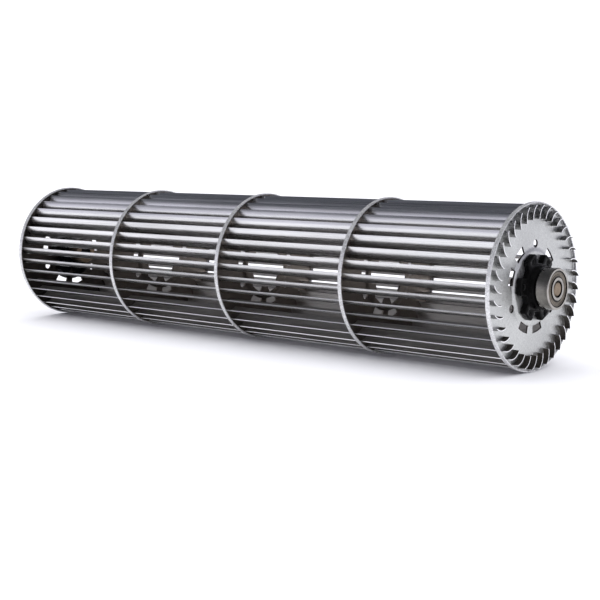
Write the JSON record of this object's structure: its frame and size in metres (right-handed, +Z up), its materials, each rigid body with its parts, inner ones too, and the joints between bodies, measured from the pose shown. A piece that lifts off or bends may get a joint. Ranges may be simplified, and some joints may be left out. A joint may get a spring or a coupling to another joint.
{
  "type": "cross flow fan",
  "caption": "Cross flow fan rotor: curved sheet blades held by dished discs, with a rubber hub at each end, one round a shielded ball bearing's shaft and one round a bush for the motor shaft.",
  "frame": {"origin": "on the axis of rotation, in the middle plane of the drive end disc's rim, inside the drive bore", "axes": "+X along the axis of rotation from the drive end to the bearing end, +Z up"},
  "size_m": [0.402, 0.09, 0.09],
  "materials": {
    "blade_steel": "satin rolled sheet",
    "disc_steel": "galvanised, faint mottle",
    "hub_rubber": "moulded, dull",
    "turned_steel": "turned, slightly tarnished",
    "black_steel": "blackened",
    "bearing_steel": "ground and polished",
    "shield_steel": "pressed, satin",
    "cage_steel": "pressed"
  },
  "bodies": {
    "rotor": {"blade_01": "blade_steel", "blade_02": "blade_steel", "blade_03": "blade_steel", "blade_04": "blade_steel", "blade_05": "blade_steel", "blade_06": "blade_steel", "blade_07": "blade_steel", "blade_08": "blade_steel", "blade_09": "blade_steel", "blade_10": "blade_steel", "blade_11": "blade_steel", "blade_12": "blade_steel", "blade_13": "blade_steel", "blade_14": "blade_steel", "blade_15": "blade_steel", "blade_16": "blade_steel", "blade_17": "blade_steel", "blade_18": "blade_steel", "blade_19": "blade_steel", "blade_20": "blade_steel", "blade_21": "blade_steel", "blade_22": "blade_steel", "blade_23": "blade_steel", "blade_24": "blade_steel", "blade_25": "blade_steel", "blade_26": "blade_steel", "blade_27": "blade_steel", "blade_28": "blade_steel", "blade_29": "blade_steel", "blade_30": "blade_steel", "blade_31": "blade_steel", "blade_32": "blade_steel", "blade_33": "blade_steel", "blade_34": "blade_steel", "blade_35": "blade_steel", "blade_36": "blade_steel", "end_disc_drive_side": "disc_steel", "support_disc_1": "disc_steel", "support_disc_2": "disc_steel", "support_disc_3": "disc_steel", "end_disc_bearing_side": "disc_steel", "rubber_hub_drive_side": "hub_rubber", "rubber_hub_bearing_side": "hub_rubber", "stub_shaft": "turned_steel", "drive_bush": "turned_steel", "grub_screw": "black_steel", "bearing_inner_ring": "bearing_steel"},
    "bearing_outer": {"bearing_outer_ring": "bearing_steel", "bearing_rear_shield": "shield_steel", "bearing_front_shield": "shield_steel"},
    "bearing_cage": {"bearing_cage": "cage_steel"},
    "ball_1": {"bearing_ball_1": "bearing_steel"},
    "ball_2": {"bearing_ball_2": "bearing_steel"},
    "ball_3": {"bearing_ball_3": "bearing_steel"},
    "ball_4": {"bearing_ball_4": "bearing_steel"},
    "ball_5": {"bearing_ball_5": "bearing_steel"},
    "ball_6": {"bearing_ball_6": "bearing_steel"},
    "ball_7": {"bearing_ball_7": "bearing_steel"}
  },
  "joints": [
    {"name": "bearing_turn", "type": "hinge", "parent": "rotor", "child": "bearing_outer", "pos_m": [0.3905, 0, 0], "axis": [1, 0, 0], "continuous": true},
    {"name": "cage_turn", "type": "hinge", "parent": "rotor", "child": "bearing_cage", "pos_m": [0.3905, 0, 0], "axis": [1, 0, 0], "continuous": true},
    {"name": "ball_1_roll", "type": "hinge", "parent": "bearing_cage", "child": "ball_1", "pos_m": [0.3905, 0, 0.0075], "axis": [1, 0, 0], "continuous": true},
    {"name": "ball_2_roll", "type": "hinge", "parent": "bearing_cage", "child": "ball_2", "pos_m": [0.3905, -0.00586, 0.00468], "axis": [1, 0, 0], "continuous": true},
    {"name": "ball_3_roll", "type": "hinge", "parent": "bearing_cage", "child": "ball_3", "pos_m": [0.3905, -0.00731, -0.00167], "axis": [1, 0, 0], "continuous": true},
    {"name": "ball_4_roll", "type": "hinge", "parent": "bearing_cage", "child": "ball_4", "pos_m": [0.3905, -0.00325, -0.00676], "axis": [1, 0, 0], "continuous": true},
    {"name": "ball_5_roll", "type": "hinge", "parent": "bearing_cage", "child": "ball_5", "pos_m": [0.3905, 0.00325, -0.00676], "axis": [1, 0, 0], "continuous": true},
    {"name": "ball_6_roll", "type": "hinge", "parent": "bearing_cage", "child": "ball_6", "pos_m": [0.3905, 0.00731, -0.00167], "axis": [1, 0, 0], "continuous": true},
    {"name": "ball_7_roll", "type": "hinge", "parent": "bearing_cage", "child": "ball_7", "pos_m": [0.3905, 0.00586, 0.00468], "axis": [1, 0, 0], "continuous": true}
  ],
  "couplings": [
    {"joint": "cage_turn", "follows": "bearing_turn", "ratio": 0.6323},
    {"joint": "ball_1_roll", "follows": "bearing_turn", "ratio": 1.7579},
    {"joint": "ball_2_roll", "follows": "bearing_turn", "ratio": 1.7579},
    {"joint": "ball_3_roll", "follows": "bearing_turn", "ratio": 1.7579},
    {"joint": "ball_4_roll", "follows": "bearing_turn", "ratio": 1.7579},
    {"joint": "ball_5_roll", "follows": "bearing_turn", "ratio": 1.7579},
    {"joint": "ball_6_roll", "follows": "bearing_turn", "ratio": 1.7579},
    {"joint": "ball_7_roll", "follows": "bearing_turn", "ratio": 1.7579}
  ]
}
